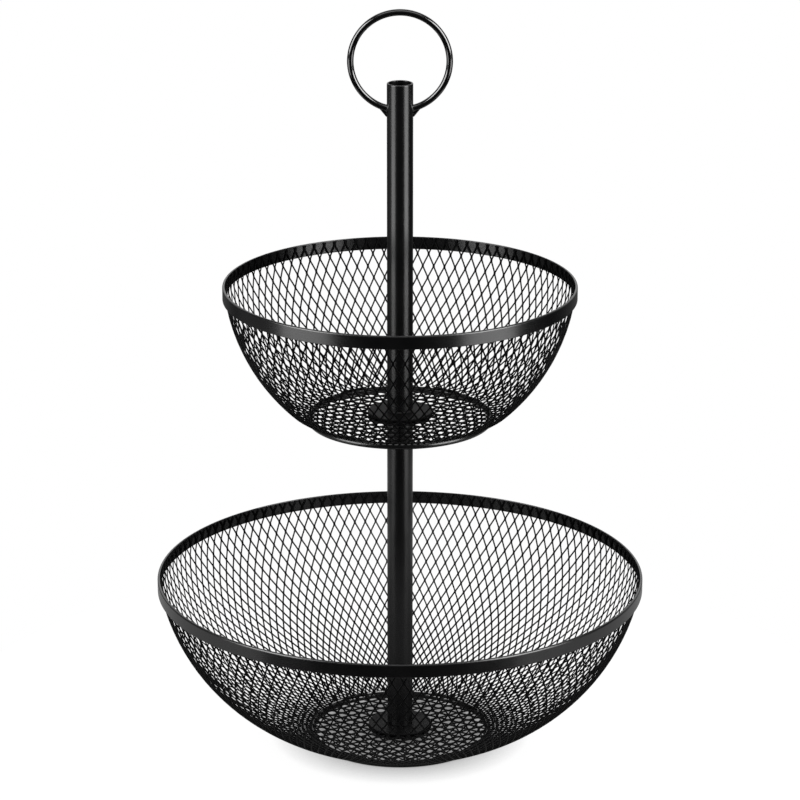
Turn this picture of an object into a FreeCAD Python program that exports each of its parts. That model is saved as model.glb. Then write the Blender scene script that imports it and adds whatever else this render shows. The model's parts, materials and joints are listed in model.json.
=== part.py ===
"""Two-tier basket of black expanded mesh on a centre post, with a ring handle on top.

Lengths are in millimetres and angles in degrees. +Z is up, the origin is on the table under the post, and
the handle's ring faces -Y. Each piece is a solid of its own, and its file in parts/ has its name.
"""
import FreeCAD
import Part
import os
from math import atan2, cos, degrees, hypot, pi, radians, sin, sqrt, tan

Vector = FreeCAD.Vector
AXIS = Vector(0, 0, 1)
FULL_TURN = 360.0
QUARTER_TURN = 90.0

# Lower basket
LOWER_RIM_DIAMETER = 305.0
LOWER_HEIGHT = 108.5            # from the table to the rim's top edge
LOWER_RIM_LEAN = 12.5           # the wall's lean from upright just under the rim band
LOWER_FOOT_LEAN = 79.0          # and where it meets the foot ring
LOWER_SIDE_SHARE = 0.92         # of the wall's turn, what its long side arc takes; the knuckle has the rest

# Upper basket
UPPER_RIM_DIAMETER = 218.0
UPPER_HEIGHT = 87.8
UPPER_RIM_LEAN = 9.0
UPPER_FOOT_LEAN = 85.0
UPPER_SIDE_SHARE = 0.84

# Sheet and wire of both baskets
MESH_SHEET = 1.0
RIM_BAND_HEIGHT = 8.2
RIM_BAND_THICKNESS = 1.5
RIM_EDGE_RADIUS = 0.5
RIM_EDGE_LIMIT_SHARE = 0.45     # of the band's thickness, the most that the rounding may take
RIM_SETBACK = 0.6               # the mesh stops this far under the band's top edge
FOOT_RING_DIAMETER = 112.0      # to the middle of its wire
FOOT_WIRE = 4.0
FOOT_FLAT = 0.3                 # depth of the flat that the ring stands on
WALL_SEAT = 0.5                 # the wall ends this far outside the middle of the foot wire

# Openings of the walls: diamonds far larger than the real ones, which are too many to cut
WALL_OPENINGS_AROUND = 24
WALL_ROW_SHARE = 0.2            # of the wall's radius, the step from one row of diamonds to the next
WALL_OPEN_SHARE = 0.8           # of a diamond between the middles of its strands, what is open
WALL_EDGE_STRIP = 2.0           # plain strip under the rim band and above the foot ring

# Openings of the floor mesh
FLOOR_DIAMOND_LENGTH = 12.5     # along X, from strand middle to strand middle
FLOOR_DIAMOND_WIDTH = 7.6       # along Y
FLOOR_STRAND = 1.2
FLOOR_EDGE_STRIP = 1.5          # plain strip round the floor's edge and round its hole

# Plates that clamp the floors
HUB_PLATE_DIAMETER = 40.0
HUB_PLATE_THICKNESS = 1.5
CLAMP_PLATE_THICKNESS = 1.0

# Post
TUBE_DIAMETER = 16.0
TUBE_WALL = 1.0
TUBE_LENGTH = 206.5             # both tubes are cut alike
INSERT_LENGTH = 20.0
THREAD_DIAMETER = 6.0
THREAD_CHAMFER = 0.8
STUD_LENGTH = 40.0
WASHER_THICKNESS = 1.0
SCREW_LENGTH = 16.0
SCREW_HEAD_DIAMETER = 13.0
SCREW_EDGE_SHARE = 0.32         # of the head's height, its upright edge
SCREW_SLOT_WIDTH = 1.2
SCREW_SLOT_LENGTH = 6.4
SCREW_SLOT_SHARE = 0.55         # of the head's height, the slot's depth

# Handle
HANDLE_DIAMETER = 59.8          # to the middle of its wire
HANDLE_WIRE = 4.0
HANDLE_RISE = 13.3              # the ring's middle above the post's open end
GUSSET_REACH = 5.2              # out from the tube, along the middle of the wire
GUSSET_DROP = 6.4               # down the tube, from the middle of the wire
GUSSET_THICKNESS = 2.5

# Clearances
WELD_GAP = 0.05                 # between curved faces that are welded or pressed together
RUNNING_GAP = 0.05              # between flat faces that turn on each other
THREAD_GAP = 0.05               # round the thread in its inserts
HOLE_CLEARANCE = 0.3            # round the thread in plates, mesh and washer
TABLE_CLEARANCE = 0.55          # under the screw's head
CUT_OVERRUN = 1.0               # how far a cutting shape runs past what it cuts

# Levels, from the table up
FLOOR_RISE = FOOT_WIRE - FOOT_FLAT + WELD_GAP
HUB_RISE = FLOOR_RISE + MESH_SHEET + HUB_PLATE_THICKNESS
JOINT_Z = HUB_RISE + TUBE_LENGTH
UPPER_FOOT_Z = JOINT_Z + RUNNING_GAP + CLAMP_PLATE_THICKNESS - FLOOR_RISE
WASHER_Z = UPPER_FOOT_Z + HUB_RISE + RUNNING_GAP
UPPER_TUBE_Z = WASHER_Z + WASHER_THICKNESS + RUNNING_GAP
POST_TOP_Z = UPPER_TUBE_Z + TUBE_LENGTH
HANDLE_Z = POST_TOP_Z + HANDLE_RISE

# Radii that several pieces share
TUBE_RADIUS = TUBE_DIAMETER / 2
TUBE_BORE_RADIUS = TUBE_RADIUS - TUBE_WALL
THREAD_RADIUS = THREAD_DIAMETER / 2
HOLE_RADIUS = THREAD_RADIUS + HOLE_CLEARANCE
FOOT_RADIUS = FOOT_RING_DIAMETER / 2
HANDLE_RADIUS = HANDLE_DIAMETER / 2


def line(start, end):
    """Straight edge between two points."""
    return Part.LineSegment(start, end).toShape()


def turned(edges):
    """Solid made by turning a closed outline in the XZ plane about the post."""
    return Part.Face(Part.Wire(edges)).revolve(Vector(), AXIS, FULL_TURN)


def collar(outer_radius, inner_radius, z, height):
    """Round tube, washer or band about the post, with its lower face at z."""
    outer = Part.makeCylinder(outer_radius, height, Vector(0, 0, z))
    hole = Part.makeCylinder(inner_radius, height + 2 * CUT_OVERRUN, Vector(0, 0, z - CUT_OVERRUN))
    return outer.cut(hole)


def outward(lean):
    """Unit vector square to a wall that leans this far from upright, pointing out of the basket."""
    return Vector(cos(radians(lean)), 0, -sin(radians(lean)))


def down(lean):
    """Unit vector down along a wall that leans this far from upright."""
    return Vector(-sin(radians(lean)), 0, -cos(radians(lean)))


def wall_arc(centre, radius, first_lean, last_lean):
    """Arc of a wall's outline between two leans."""
    leans = (first_lean, (first_lean + last_lean) / 2, last_lean)
    return Part.Arc(*[centre + outward(lean) * radius for lean in leans]).toShape()


def rim_band(rim_diameter, foot_z, height):
    """Flat strip round a basket's mouth, with its top edges rounded."""
    outer_radius = rim_diameter / 2
    band_z = foot_z + height - RIM_BAND_HEIGHT
    band = collar(outer_radius, outer_radius - RIM_BAND_THICKNESS, band_z, RIM_BAND_HEIGHT)
    middle_z = band_z + RIM_BAND_HEIGHT / 2
    top_edges = [edge for edge in band.Edges if edge.BoundBox.ZMin > middle_z]
    rounding = min(RIM_EDGE_RADIUS, RIM_BAND_THICKNESS * RIM_EDGE_LIMIT_SHARE)
    return band.makeFillet(rounding, top_edges)


def wall_turn(start, end, start_lean, end_lean, side_share):
    """Two arcs that run from start down to end with these leans and no corner between them.

    Each arc is its centre, its radius and its two leans. The tangents at the two ends, drawn to where the
    arcs meet, are in the ratio that the side's share gives.
    """
    ratio = side_share / (1 - side_share)
    span = end - start
    start_run = down(start_lean)
    end_run = down(end_lean)
    bend = 2 * ratio * (1 - start_run.dot(end_run))
    along = span.dot(start_run * ratio + end_run)
    knuckle_tangent = (sqrt(along ** 2 + bend * span.dot(span)) - along) / bend
    side_tangent = ratio * knuckle_tangent
    meeting_run = (end - end_run * knuckle_tangent) - (start + start_run * side_tangent)
    meeting_lean = degrees(atan2(-meeting_run.x, -meeting_run.z))
    side_radius = side_tangent / tan(radians(meeting_lean - start_lean) / 2)
    knuckle_radius = knuckle_tangent / tan(radians(end_lean - meeting_lean) / 2)
    side = (start - outward(start_lean) * side_radius, side_radius, start_lean, meeting_lean)
    knuckle = (end - outward(end_lean) * knuckle_radius, knuckle_radius, meeting_lean, end_lean)
    return side, knuckle


def wall_place(arcs, run):
    """Point this far down a wall's arcs, and the wall's lean there."""
    for centre, radius, first_lean, last_lean in arcs:
        length = radius * radians(last_lean - first_lean)
        if run <= length:
            break
        run -= length
    lean = first_lean + degrees(run / radius)
    return centre + outward(lean) * radius, lean


def opening_runs(arcs):
    """How far down a wall each row of diamonds lies: closer together as the wall narrows."""
    top = WALL_EDGE_STRIP
    wall_length = sum(radius * radians(last - first) for centre, radius, first, last in arcs)
    room = wall_length - 2 * WALL_EDGE_STRIP
    runs = [0]
    while runs[-1] < room:
        place, lean = wall_place(arcs, top + runs[-1])
        runs.append(runs[-1] + place.x * WALL_ROW_SHARE)
    rows = runs[:-1]
    return [top + run * room / rows[-1] for run in rows]


def wall_openings(arcs):
    """Prisms that cut a wall's diamonds: half ones in the first and last row, and whole ones between."""
    runs = opening_runs(arcs)
    prisms = []
    for row, run in enumerate(runs):
        place, lean = wall_place(arcs, run)
        place += outward(lean) * CUT_OVERRUN
        across = Vector(0, place.x * pi / WALL_OPENINGS_AROUND * WALL_OPEN_SHARE, 0)
        corners = [place + across]
        if row > 0:
            corners.append(place - down(lean) * (run - runs[row - 1]) * WALL_OPEN_SHARE)
        corners.append(place - across)
        if row < len(runs) - 1:
            corners.append(place + down(lean) * (runs[row + 1] - run) * WALL_OPEN_SHARE)
        depth = place.x * WALL_ROW_SHARE
        prism = Part.Face(Part.makePolygon(corners + corners[:1])).extrude(outward(lean) * -depth)
        offset = row % 2 / 2
        for opening in range(WALL_OPENINGS_AROUND):
            turned_prism = prism.copy()
            turned_prism.rotate(Vector(), AXIS, FULL_TURN * (opening + offset) / WALL_OPENINGS_AROUND)
            prisms.append(turned_prism)
    print("wall openings:", len(prisms))
    return prisms


def mesh_wall(rim_diameter, foot_z, height, rim_lean, foot_lean, side_share):
    """Bowl of mesh sheet: an upright hem inside the rim band, then two arcs with diamonds cut in them."""
    hem_radius = rim_diameter / 2 - RIM_BAND_THICKNESS - WELD_GAP
    rim_z = foot_z + height
    hem_top = Vector(hem_radius, 0, rim_z - RIM_SETBACK)
    hem_end = Vector(hem_radius, 0, rim_z - RIM_BAND_HEIGHT)
    foot = Vector(FOOT_RADIUS + WALL_SEAT, 0, foot_z + FLOOR_RISE)
    arcs = wall_turn(hem_end, foot, rim_lean, foot_lean, side_share)

    inner_top = hem_top - Vector(MESH_SHEET, 0, 0)
    inner_hem_end = hem_end - outward(rim_lean) * MESH_SHEET
    inner_foot = foot - outward(foot_lean) * MESH_SHEET
    edges = [line(hem_top, hem_end), line(inner_top, inner_hem_end)]
    edges += [line(hem_top, inner_top), line(foot, inner_foot)]
    for depth in (0, MESH_SHEET):
        edges += [wall_arc(centre, radius - depth, first, last) for centre, radius, first, last in arcs]
    return turned(Part.sortEdges(edges)[0]).cut(wall_openings(arcs))


def floor_opening(x, y):
    """Outline of one diamond opening, inside its four strands."""
    half_width = FLOOR_DIAMOND_WIDTH / 2
    half_length = FLOOR_DIAMOND_LENGTH / 2
    strand_distance = half_width * half_length / hypot(half_width, half_length)
    open_share = 1 - FLOOR_STRAND / 2 / strand_distance
    dx = half_length * open_share
    dy = half_width * open_share
    corners = [(x + dx, y), (x, y + dy), (x - dx, y), (x, y - dy), (x + dx, y)]
    return Part.makePolygon([Vector(cx, cy, 0) for cx, cy in corners])


def mesh_floor(foot_z):
    """Flat disc of mesh on the foot ring: one face with all its openings, raised to a sheet."""
    rim = Part.Wire(Part.makeCircle(FOOT_RADIUS))
    hole = Part.Wire(Part.makeCircle(HOLE_RADIUS))
    half_width = FLOOR_DIAMOND_WIDTH / 2
    half_length = FLOOR_DIAMOND_LENGTH / 2
    columns = int(FOOT_RADIUS / half_length)
    rows = int(FOOT_RADIUS / half_width)
    openings = []
    for column in range(-columns, columns + 1):
        for row in range(-rows, rows + 1):
            x, y = column * half_length, row * half_width
            furthest = max(hypot(abs(x) + half_length, y), hypot(x, abs(y) + half_width))
            inside = furthest < FOOT_RADIUS - FLOOR_EDGE_STRIP
            clear_of_hole = hypot(x, y) - max(half_length, half_width) > HOLE_RADIUS + FLOOR_EDGE_STRIP
            if (column + row) % 2 == 0 and inside and clear_of_hole:
                openings.append(floor_opening(x, y))
    net = Part.makeFace([rim, hole] + openings, "Part::FaceMakerBullseye")
    print("floor openings:", len(openings))
    disc = net.extrude(Vector(0, 0, MESH_SHEET))
    disc.translate(Vector(0, 0, foot_z + FLOOR_RISE))
    return disc


def foot_ring(foot_z):
    """Wire ring that a basket stands on, pressed flat underneath."""
    middle_z = foot_z + FOOT_WIRE / 2 - FOOT_FLAT
    ring = Part.makeTorus(FOOT_RADIUS, FOOT_WIRE / 2, Vector(0, 0, middle_z), AXIS)
    below = Part.makeCylinder(FOOT_RADIUS + FOOT_WIRE, FOOT_WIRE, Vector(0, 0, foot_z - FOOT_WIRE))
    return ring.cut(below)


def hub_plate(foot_z):
    """Round plate on the floor mesh, which the tube bears on."""
    plate_z = foot_z + FLOOR_RISE + MESH_SHEET
    return collar(HUB_PLATE_DIAMETER / 2, HOLE_RADIUS, plate_z, HUB_PLATE_THICKNESS)


def clamp_plate(foot_z):
    """Thinner plate under the floor mesh, opposite the hub plate."""
    plate_z = foot_z + FLOOR_RISE - CLAMP_PLATE_THICKNESS
    return collar(HUB_PLATE_DIAMETER / 2, HOLE_RADIUS, plate_z, CLAMP_PLATE_THICKNESS)


def post_tube(z):
    """One length of the post."""
    return collar(TUBE_RADIUS, TUBE_BORE_RADIUS, z, TUBE_LENGTH)


def thread_insert(z):
    """Threaded slug pressed into the end of a tube."""
    return collar(TUBE_BORE_RADIUS - WELD_GAP, THREAD_RADIUS + THREAD_GAP, z, INSERT_LENGTH)


def joining_stud():
    """Threaded stud from the plug in the upper tube, through the upper floor, into the lower tube."""
    top_z = UPPER_TUBE_Z + INSERT_LENGTH
    stud = Part.makeCylinder(THREAD_RADIUS, STUD_LENGTH, Vector(0, 0, top_z - STUD_LENGTH))
    ends = [edge for edge in stud.Edges if isinstance(edge.Curve, Part.Circle)]
    return stud.makeChamfer(THREAD_CHAMFER, ends)


def base_screw():
    """Low domed screw from under the lower basket, with a cross slot in its head."""
    head_radius = SCREW_HEAD_DIAMETER / 2
    seat_z = FLOOR_RISE - CLAMP_PLATE_THICKNESS
    tip_z = seat_z + SCREW_LENGTH
    crown_z = TABLE_CLEARANCE
    head_height = seat_z - crown_z
    dome = head_height * (1 - SCREW_EDGE_SHARE)
    dome_radius = (head_radius ** 2 + dome ** 2) / (2 * dome)
    half_angle = atan2(head_radius, dome_radius - dome) / 2
    crown = Vector(0, 0, crown_z)
    shoulder = crown + Vector(dome_radius * sin(half_angle), 0, dome_radius * (1 - cos(half_angle)))
    corners = [
        Vector(head_radius, 0, crown_z + dome),
        Vector(head_radius, 0, seat_z),
        Vector(THREAD_RADIUS, 0, seat_z),
        Vector(THREAD_RADIUS, 0, tip_z - THREAD_CHAMFER),
        Vector(THREAD_RADIUS - THREAD_CHAMFER, 0, tip_z),
        Vector(0, 0, tip_z),
        crown,
    ]
    edges = [Part.Arc(crown, shoulder, corners[0]).toShape()]
    edges += [line(start, end) for start, end in zip(corners, corners[1:])]
    screw = turned(edges)
    slot_depth = head_height * SCREW_SLOT_SHARE
    slot = Part.makeBox(SCREW_SLOT_LENGTH, SCREW_SLOT_WIDTH, slot_depth + CUT_OVERRUN)
    slot.translate(Vector(-SCREW_SLOT_LENGTH / 2, -SCREW_SLOT_WIDTH / 2, crown_z - CUT_OVERRUN))
    crossing = slot.copy()
    crossing.rotate(Vector(), AXIS, QUARTER_TURN)
    return screw.cut(slot).cut(crossing)


def post_washer():
    """Washer that the upper tube turns on."""
    return collar(TUBE_RADIUS, HOLE_RADIUS, WASHER_Z, WASHER_THICKNESS)


def handle_torus(wire_radius):
    """The handle's whole ring with a wire of this radius."""
    return Part.makeTorus(HANDLE_RADIUS, wire_radius, Vector(0, 0, HANDLE_Z), Vector(0, 1, 0))


def tube_envelope():
    """The upper tube's outside with a weld gap round it, for shaping what is welded to it."""
    return Part.makeCylinder(TUBE_RADIUS + WELD_GAP, TUBE_LENGTH, Vector(0, 0, UPPER_TUBE_Z))


def ring_handle():
    """Wire bent to a ring, with its two ends welded to the sides of the upper tube."""
    return handle_torus(HANDLE_WIRE / 2).cut(tube_envelope())


def handle_gusset(side):
    """Small three-cornered plate in the corner under the wire: side is 1 for +X and -1 for -X."""
    def on_wire(x):
        return Vector(side * x, 0, HANDLE_Z - sqrt(HANDLE_RADIUS ** 2 - x ** 2))

    inner = on_wire(TUBE_BORE_RADIUS)
    outer = on_wire(TUBE_RADIUS + GUSSET_REACH)
    tube_side_z = on_wire(TUBE_RADIUS).z
    toe = Vector(side * TUBE_RADIUS, 0, tube_side_z - GUSSET_DROP)
    inner_toe = Vector(inner.x, 0, toe.z)
    outline = Part.makePolygon([inner, outer, toe, inner_toe, inner])
    plate = Part.Face(outline).extrude(Vector(0, GUSSET_THICKNESS, 0))
    plate.translate(Vector(0, -GUSSET_THICKNESS / 2, 0))
    return plate.cut(handle_torus(HANDLE_WIRE / 2 + WELD_GAP)).cut(tube_envelope())


def basket(tier, rim_diameter, foot_z, height, rim_lean, foot_lean, side_share):
    """The six pieces of one basket, by name."""
    return {
        tier + "_rim_band": rim_band(rim_diameter, foot_z, height),
        tier + "_mesh_wall": mesh_wall(rim_diameter, foot_z, height, rim_lean, foot_lean, side_share),
        tier + "_mesh_floor": mesh_floor(foot_z),
        tier + "_foot_ring": foot_ring(foot_z),
        tier + "_hub_plate": hub_plate(foot_z),
        tier + "_clamp_plate": clamp_plate(foot_z),
    }


def post():
    """The tubes, and what joins them to each other and to the baskets."""
    return {
        "lower_post_tube": post_tube(HUB_RISE),
        "lower_post_foot_insert": thread_insert(HUB_RISE),
        "lower_post_head_insert": thread_insert(JOINT_Z - INSERT_LENGTH),
        "base_screw": base_screw(),
        "post_washer": post_washer(),
        "upper_post_tube": post_tube(UPPER_TUBE_Z),
        "upper_post_plug": thread_insert(UPPER_TUBE_Z),
        "joining_stud": joining_stud(),
    }


def handle():
    """The ring and its gussets."""
    return {
        "ring_handle": ring_handle(),
        "handle_gussets": Part.makeCompound([handle_gusset(side) for side in (1, -1)]),
    }


def main():
    lower_leans = (LOWER_RIM_LEAN, LOWER_FOOT_LEAN, LOWER_SIDE_SHARE)
    upper_leans = (UPPER_RIM_LEAN, UPPER_FOOT_LEAN, UPPER_SIDE_SHARE)
    pieces = basket("lower", LOWER_RIM_DIAMETER, 0, LOWER_HEIGHT, *lower_leans)
    pieces.update(basket("upper", UPPER_RIM_DIAMETER, UPPER_FOOT_Z, UPPER_HEIGHT, *upper_leans))
    pieces.update(post())
    pieces.update(handle())
    os.makedirs("parts", exist_ok=True)
    for name, shape in pieces.items():
        shape.exportStep("parts/%s.step" % name)
        print("%-24s %d solid(s) %9.1f mm3" % (name, len(shape.Solids), shape.Volume))


main()
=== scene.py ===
# %% [markdown]
# # A tiered wire basket, dressed on its frame
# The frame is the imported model: every piece at its real size, in metres, with its joints. This script
# adds what a plain solid can't show: the expanded mesh of the bowls, rounded edges, weld beads, the thread
# on the stud, the powder coat and the studio. Each step says what the piece is and why it is made this way.

# %% Load the frame
import json
import math
import bmesh
import bpy
from mathutils import Matrix, Vector


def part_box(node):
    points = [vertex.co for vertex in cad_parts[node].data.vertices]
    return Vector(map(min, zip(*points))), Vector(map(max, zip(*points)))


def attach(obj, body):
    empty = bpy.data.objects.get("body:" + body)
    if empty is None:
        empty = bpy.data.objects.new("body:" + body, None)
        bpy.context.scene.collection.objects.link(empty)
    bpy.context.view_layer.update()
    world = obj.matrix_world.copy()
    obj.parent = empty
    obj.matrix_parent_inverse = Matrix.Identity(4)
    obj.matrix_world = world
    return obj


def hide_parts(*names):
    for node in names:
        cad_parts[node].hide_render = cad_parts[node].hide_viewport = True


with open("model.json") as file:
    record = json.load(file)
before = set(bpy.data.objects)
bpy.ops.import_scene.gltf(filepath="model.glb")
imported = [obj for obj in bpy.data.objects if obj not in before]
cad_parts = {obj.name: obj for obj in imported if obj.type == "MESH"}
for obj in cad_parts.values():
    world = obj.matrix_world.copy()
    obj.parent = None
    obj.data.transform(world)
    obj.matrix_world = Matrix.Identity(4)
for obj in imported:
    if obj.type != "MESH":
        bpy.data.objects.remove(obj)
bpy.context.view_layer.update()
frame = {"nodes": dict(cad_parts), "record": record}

MM = 0.001  # pieces are drawn in millimetres, and the scene is in metres

# %% [markdown]
# ## Camera
# The photograph was taken from a little above the rims with a long lens, so the two rims show as flat
# ellipses. A camera was fitted to both rims, the post and the ring: it stands 2.19 m from a point on the
# post, 18.25 degrees above the horizon. Code aims it at that point, which is safer than typing three angles.
# No shift is needed, because the post is in the middle of the frame.

# %% Camera
CAMERA_DISTANCE = 2.1916
CAMERA_ELEVATION = math.radians(18.252)
CAMERA_AIM = Vector((0, 0, 0.22284))
CAMERA_LENS = 159.06
CAMERA_SENSOR = 36


def add_object(name, data):
    """Object of this data, linked into the scene."""
    thing = bpy.data.objects.new(name, data)
    bpy.context.scene.collection.objects.link(thing)
    return thing


camera_data = bpy.data.cameras.new("photo_camera")
camera_data.sensor_width = CAMERA_SENSOR
camera_data.lens = CAMERA_LENS
camera = add_object("photo_camera", camera_data)
camera_back = Vector((0, -math.cos(CAMERA_ELEVATION), math.sin(CAMERA_ELEVATION)))
camera.location = CAMERA_AIM + camera_back * CAMERA_DISTANCE
camera.rotation_euler = (-camera_back).to_track_quat("-Z", "Y").to_euler()
bpy.context.scene.camera = camera
print("camera at", [round(v, 4) for v in camera.location])

# %% [markdown]
# ## Adding nodes in code
# Materials and Geometry Nodes are both trees of nodes. One helper adds a node, sets its options, and gives
# each of its sockets a number or a link from another node, so a tree reads from its first step to its last.
# Three more give short names to what the trees use most: a sum, a vector and a change of range.

# %% Node helpers
def add_node(tree, kind, inputs=None, **options):
    """Adds a node. inputs maps a socket's name or number to a value, or to the output that feeds it."""
    node = tree.nodes.new(kind)
    for option, value in options.items():
        setattr(node, option, value)
    for key, value in (inputs or {}).items():
        if isinstance(value, bpy.types.NodeSocket):
            tree.links.new(value, node.inputs[key])
        else:
            node.inputs[key].default_value = value
    return node


def number(tree, operation, *values):
    """Math node's output for one operation on one to three numbers."""
    node = add_node(tree, "ShaderNodeMath", dict(enumerate(values)), operation=operation)
    return node.outputs[0]


def vector(tree, **parts):
    """Combine XYZ node's output for these parts of a vector."""
    return add_node(tree, "ShaderNodeCombineXYZ", parts).outputs["Vector"]


def map_range(tree, value, source, target):
    """Map Range node's output: a value is carried from one range to another, and held at its ends."""
    node = add_node(tree, "ShaderNodeMapRange", {
        "Value": value, "From Min": source[0], "From Max": source[1],
        "To Min": target[0], "To Max": target[1]})
    return node.outputs["Result"]


# %% [markdown]
# ## Powder coat
# The whole stand is steel under a satin black powder coat. Powder melts to a film with a fine orange peel,
# seen only as a slight break-up of its highlights, so a small noise drives the bump and a slow one the
# roughness. A faint change of tone keeps the black from being one flat number. Noise on Object coordinates
# has no seam and needs no picture. The ring's wire takes a glossier film, the mesh and plates a duller one.

# %% Coating helper
PEEL_STRENGTH = 0.35
PEEL_DETAIL = 2.0
PEEL_ROUGHNESS = 0.45
DRIFT_SCALE = 55.0
DRIFT_DETAIL = 4.0
DRIFT_RANGE = (0.3, 0.7)
TONE_SHARES = (0.75, 1.25)


def coat_material(name, tone, roughness, peel_scale, peel_depth, specular):
    """Coating of a colour and a range of roughness, with the fineness and depth of its orange peel."""
    material = bpy.data.materials.new(name)
    material.use_nodes = True
    tree = material.node_tree
    surface = tree.nodes["Principled BSDF"]
    place = add_node(tree, "ShaderNodeTexCoord").outputs["Object"]

    peel = add_node(tree, "ShaderNodeTexNoise", {
        "Vector": place, "Scale": peel_scale, "Detail": PEEL_DETAIL, "Roughness": PEEL_ROUGHNESS})
    bump = add_node(tree, "ShaderNodeBump", {
        "Strength": PEEL_STRENGTH, "Distance": peel_depth, "Height": peel.outputs["Fac"]})
    tree.links.new(bump.outputs["Normal"], surface.inputs["Normal"])

    drift = add_node(tree, "ShaderNodeTexNoise", {
        "Vector": place, "Scale": DRIFT_SCALE, "Detail": DRIFT_DETAIL}).outputs["Fac"]
    tree.links.new(map_range(tree, drift, DRIFT_RANGE, roughness), surface.inputs["Roughness"])

    shade = add_node(tree, "ShaderNodeValToRGB", {"Fac": drift})
    for element, share in zip(shade.color_ramp.elements, TONE_SHARES):
        element.color = [part * share for part in tone] + [1]
    tree.links.new(shade.outputs["Color"], surface.inputs["Base Color"])
    surface.inputs["Specular IOR Level"].default_value = specular
    return material


# %% Coating materials
BLACK = (0.0018, 0.0018, 0.0020)
NYLON_BLACK = (0.012, 0.012, 0.012)
WIRE_FILM = {"Coat Weight": 0.8, "Coat Roughness": 0.1}

steel_coat = coat_material(
    "black_powder_coat", BLACK, roughness=(0.23, 0.27), peel_scale=1400.0, peel_depth=0.00001, specular=1.0)
wire_coat = coat_material(
    "black_wire_coat", BLACK, roughness=(0.13, 0.16), peel_scale=1400.0, peel_depth=0.000002, specular=1.0)
mesh_coat = coat_material(
    "black_mesh_coat", BLACK, roughness=(0.28, 0.38), peel_scale=2200.0, peel_depth=0.00003, specular=0.09)
plate_coat = coat_material(
    "black_plate_coat", BLACK, roughness=(0.45, 0.55), peel_scale=1400.0, peel_depth=0.00001, specular=0.15)
nylon = coat_material(
    "black_nylon", NYLON_BLACK, roughness=(0.48, 0.62), peel_scale=3000.0, peel_depth=0.00002, specular=0.5)
for socket, value in WIRE_FILM.items():
    wire_coat.node_tree.nodes["Principled BSDF"].inputs[socket].default_value = value
print("coats:", steel_coat.name, wire_coat.name, mesh_coat.name, plate_coat.name, nylon.name)

# %% [markdown]
# ## Zinc plate
# The screw, the stud and the threaded inserts are bright zinc-plated steel. Turned parts carry fine tool
# marks round their axis. Rings of a wave texture would look too even, so a noise that is stretched round the
# post gives the plate its short streaks.

# %% Zinc material
ZINC_STRETCH = (300.0, 300.0, 4000.0)
ZINC_DETAIL = 3.0
ZINC_TONES = ((0.46, 0.47, 0.50, 1), (0.68, 0.69, 0.71, 1))
ZINC_ROUGHNESS = (0.22, 0.42)

zinc_plate = bpy.data.materials.new("zinc_plate")
zinc_plate.use_nodes = True
zinc_tree = zinc_plate.node_tree
zinc_surface = zinc_tree.nodes["Principled BSDF"]
zinc_place = add_node(zinc_tree, "ShaderNodeTexCoord").outputs["Object"]
zinc_streaks = add_node(zinc_tree, "ShaderNodeMapping", {"Vector": zinc_place, "Scale": ZINC_STRETCH})
zinc_marks = add_node(zinc_tree, "ShaderNodeTexNoise", {
    "Vector": zinc_streaks.outputs["Vector"], "Scale": 1.0, "Detail": ZINC_DETAIL}).outputs["Fac"]
zinc_shade = add_node(zinc_tree, "ShaderNodeValToRGB", {"Fac": zinc_marks})
for element, tone in zip(zinc_shade.color_ramp.elements, ZINC_TONES):
    element.color = tone
zinc_tree.links.new(zinc_shade.outputs["Color"], zinc_surface.inputs["Base Color"])
zinc_gloss = map_range(zinc_tree, zinc_marks, (0.0, 1.0), ZINC_ROUGHNESS)
zinc_tree.links.new(zinc_gloss, zinc_surface.inputs["Roughness"])
zinc_surface.inputs["Metallic"].default_value = 1.0
print("zinc:", zinc_plate.name)

# %% [markdown]
# ## Finished pieces
# Every piece ends the same way: one mesh at the origin with its place in its points, smooth shading except
# at real corners, a material and a body to ride on, and the plain solid it stands for is hidden.

# %% Finishing helper
CORNER_ANGLE = math.radians(38)


def finish_piece(name, mesh, material, body, nodes, corner_angle=CORNER_ANGLE):
    """Puts a mesh in the scene as a finished piece that rides on a body and replaces these nodes."""
    mesh.materials.clear()
    mesh.materials.append(material)
    mesh.shade_smooth()
    mesh.set_sharp_from_angle(angle=corner_angle)
    piece = add_object(name, mesh)
    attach(piece, body)
    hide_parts(*nodes)
    print(name, "faces:", len(mesh.polygons))


# %% [markdown]
# ## Turned pieces
# Bands, tubes, rings and plates are all round about the post. Each is drawn as a closed outline of radius
# and height, its corners are rounded, and the outline is turned about the post. A Screw modifier could turn
# it too, but the rounding is easier here, on a few flat points. The rounded corners matter: a thin line of
# light along an edge is what tells the eye that a strip of steel has a thickness.

# %% Rounded outlines
CORNER_STEPS = 4
HOLD_SHARE = 0.1  # a line of points this far past each rounding keeps the flat beside it flat


def rounded(corners):
    """Outline, in metres, of a polygon of (radius, height, rounding) corners in millimetres."""
    outline = []
    for here, (x, z, rounding) in enumerate(corners):
        corner = Vector((x, z))
        before = Vector(corners[here - 1][:2]) - corner
        after = Vector(corners[(here + 1) % len(corners)][:2]) - corner
        if rounding <= 0:
            outline.append(corner)
            continue
        before.normalize()
        after.normalize()
        half = before.angle(after) / 2
        tangent = rounding / math.tan(half)
        centre = corner + (before + after).normalized() * (rounding / math.sin(half))
        first = corner + before * tangent - centre
        last = corner + after * tangent - centre
        hold = tangent + rounding * HOLD_SHARE
        outline.append(corner + before * hold)
        for at in range(CORNER_STEPS + 1):
            outline.append(centre + first.slerp(last, at / CORNER_STEPS) * rounding)
        outline.append(corner + after * hold)
    return [(point.x * MM, point.y * MM) for point in outline]


# %% Turned meshes
TURN_STEPS = 224


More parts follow.
